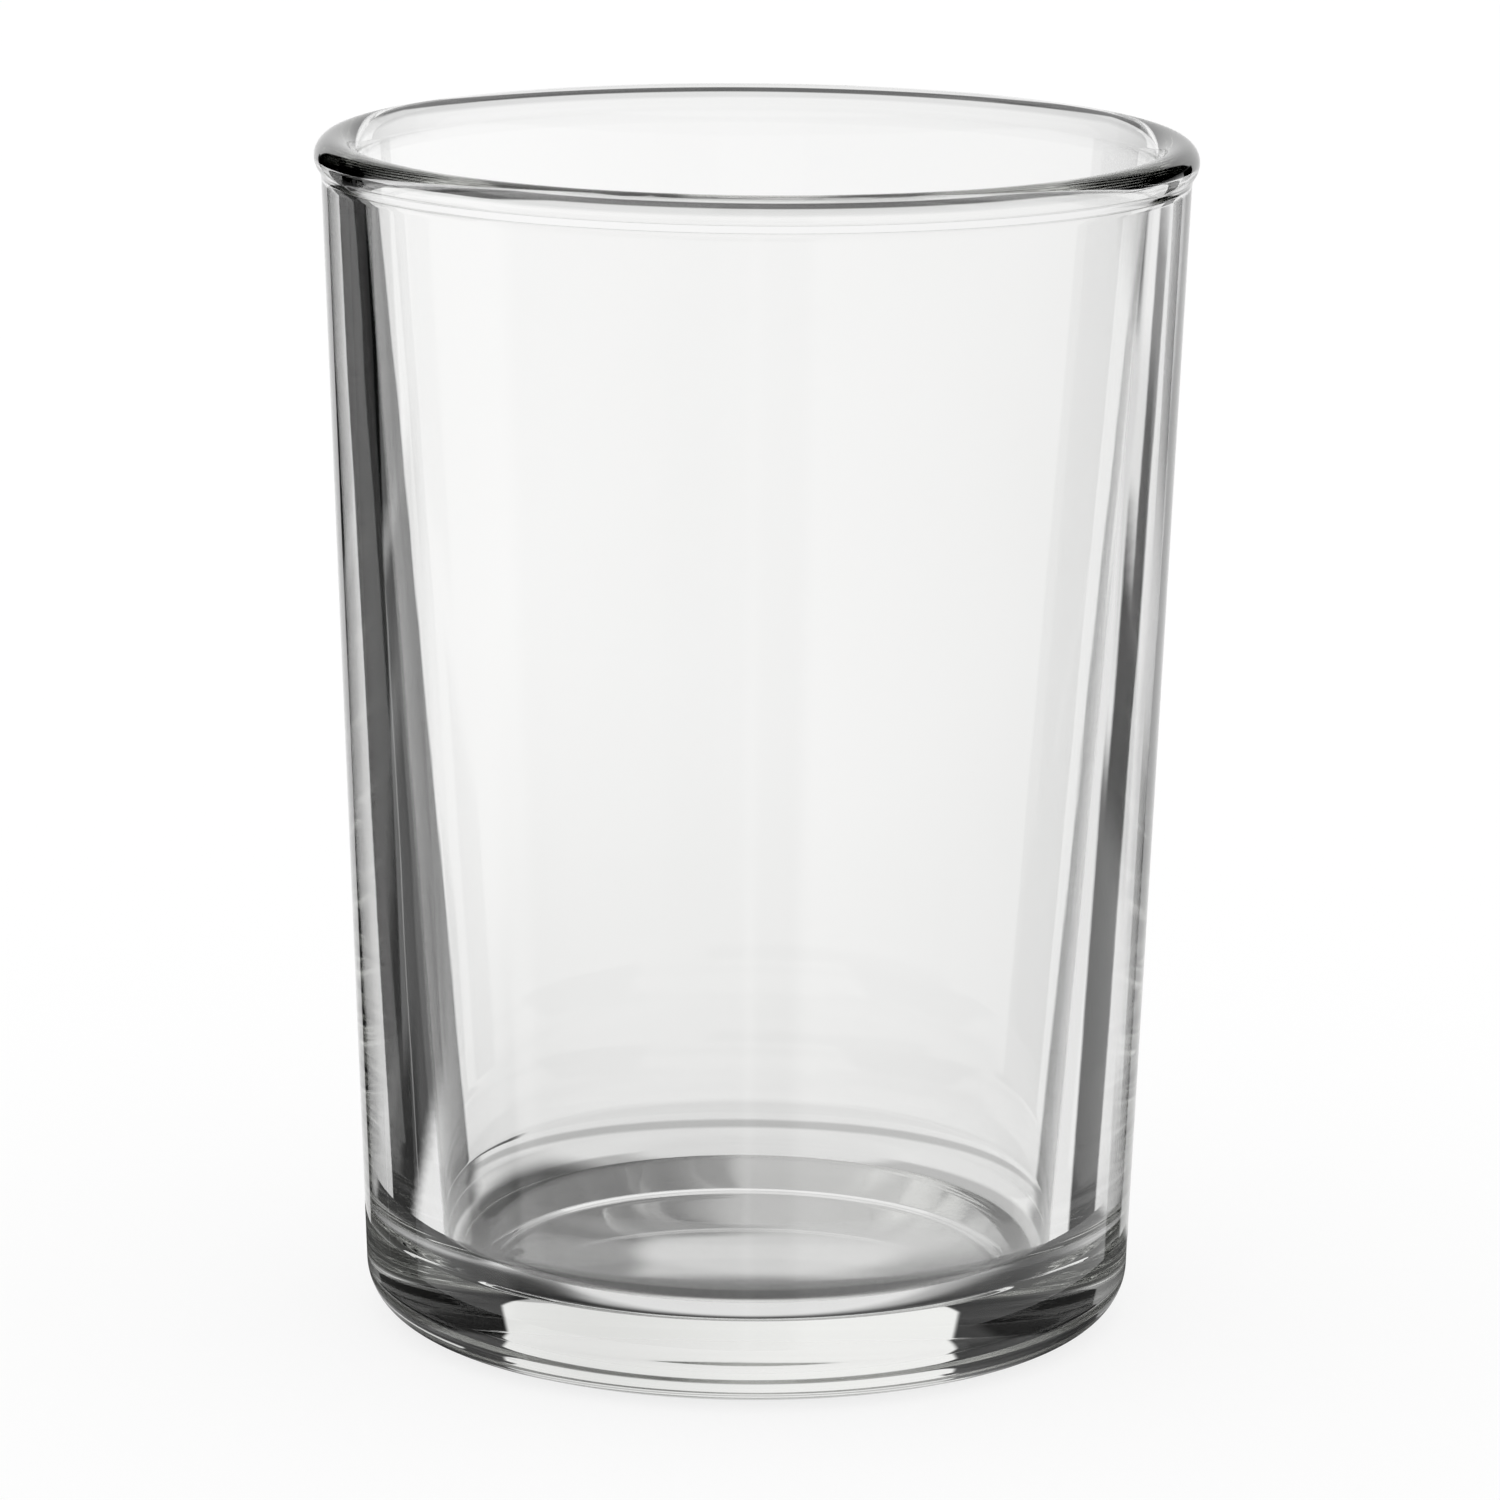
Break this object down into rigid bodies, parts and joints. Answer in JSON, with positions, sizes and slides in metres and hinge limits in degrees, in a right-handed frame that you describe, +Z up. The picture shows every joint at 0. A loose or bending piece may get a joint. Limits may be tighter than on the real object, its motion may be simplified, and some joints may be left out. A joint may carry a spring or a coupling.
{
  "type": "whisky tumbler",
  "caption": "Tapered clear pressed-glass tumbler with a beaded rim, a wall that thickens towards its foot and a heavy base on a flat standing ring, for a short drink.",
  "frame": {"origin": "centre of the circle that the glass stands on", "axes": "+Z up along the axis of revolution, towards the mouth; X and Y are alike because the glass is round"},
  "size_m": [0.0732, 0.0732, 0.1],
  "materials": {
    "clear_glass": "fire-polished, clear, with a faint grey-green tint where it is thick"
  },
  "bodies": {
    "root": {"tumbler": "clear_glass"}
  },
  "joints": []
}
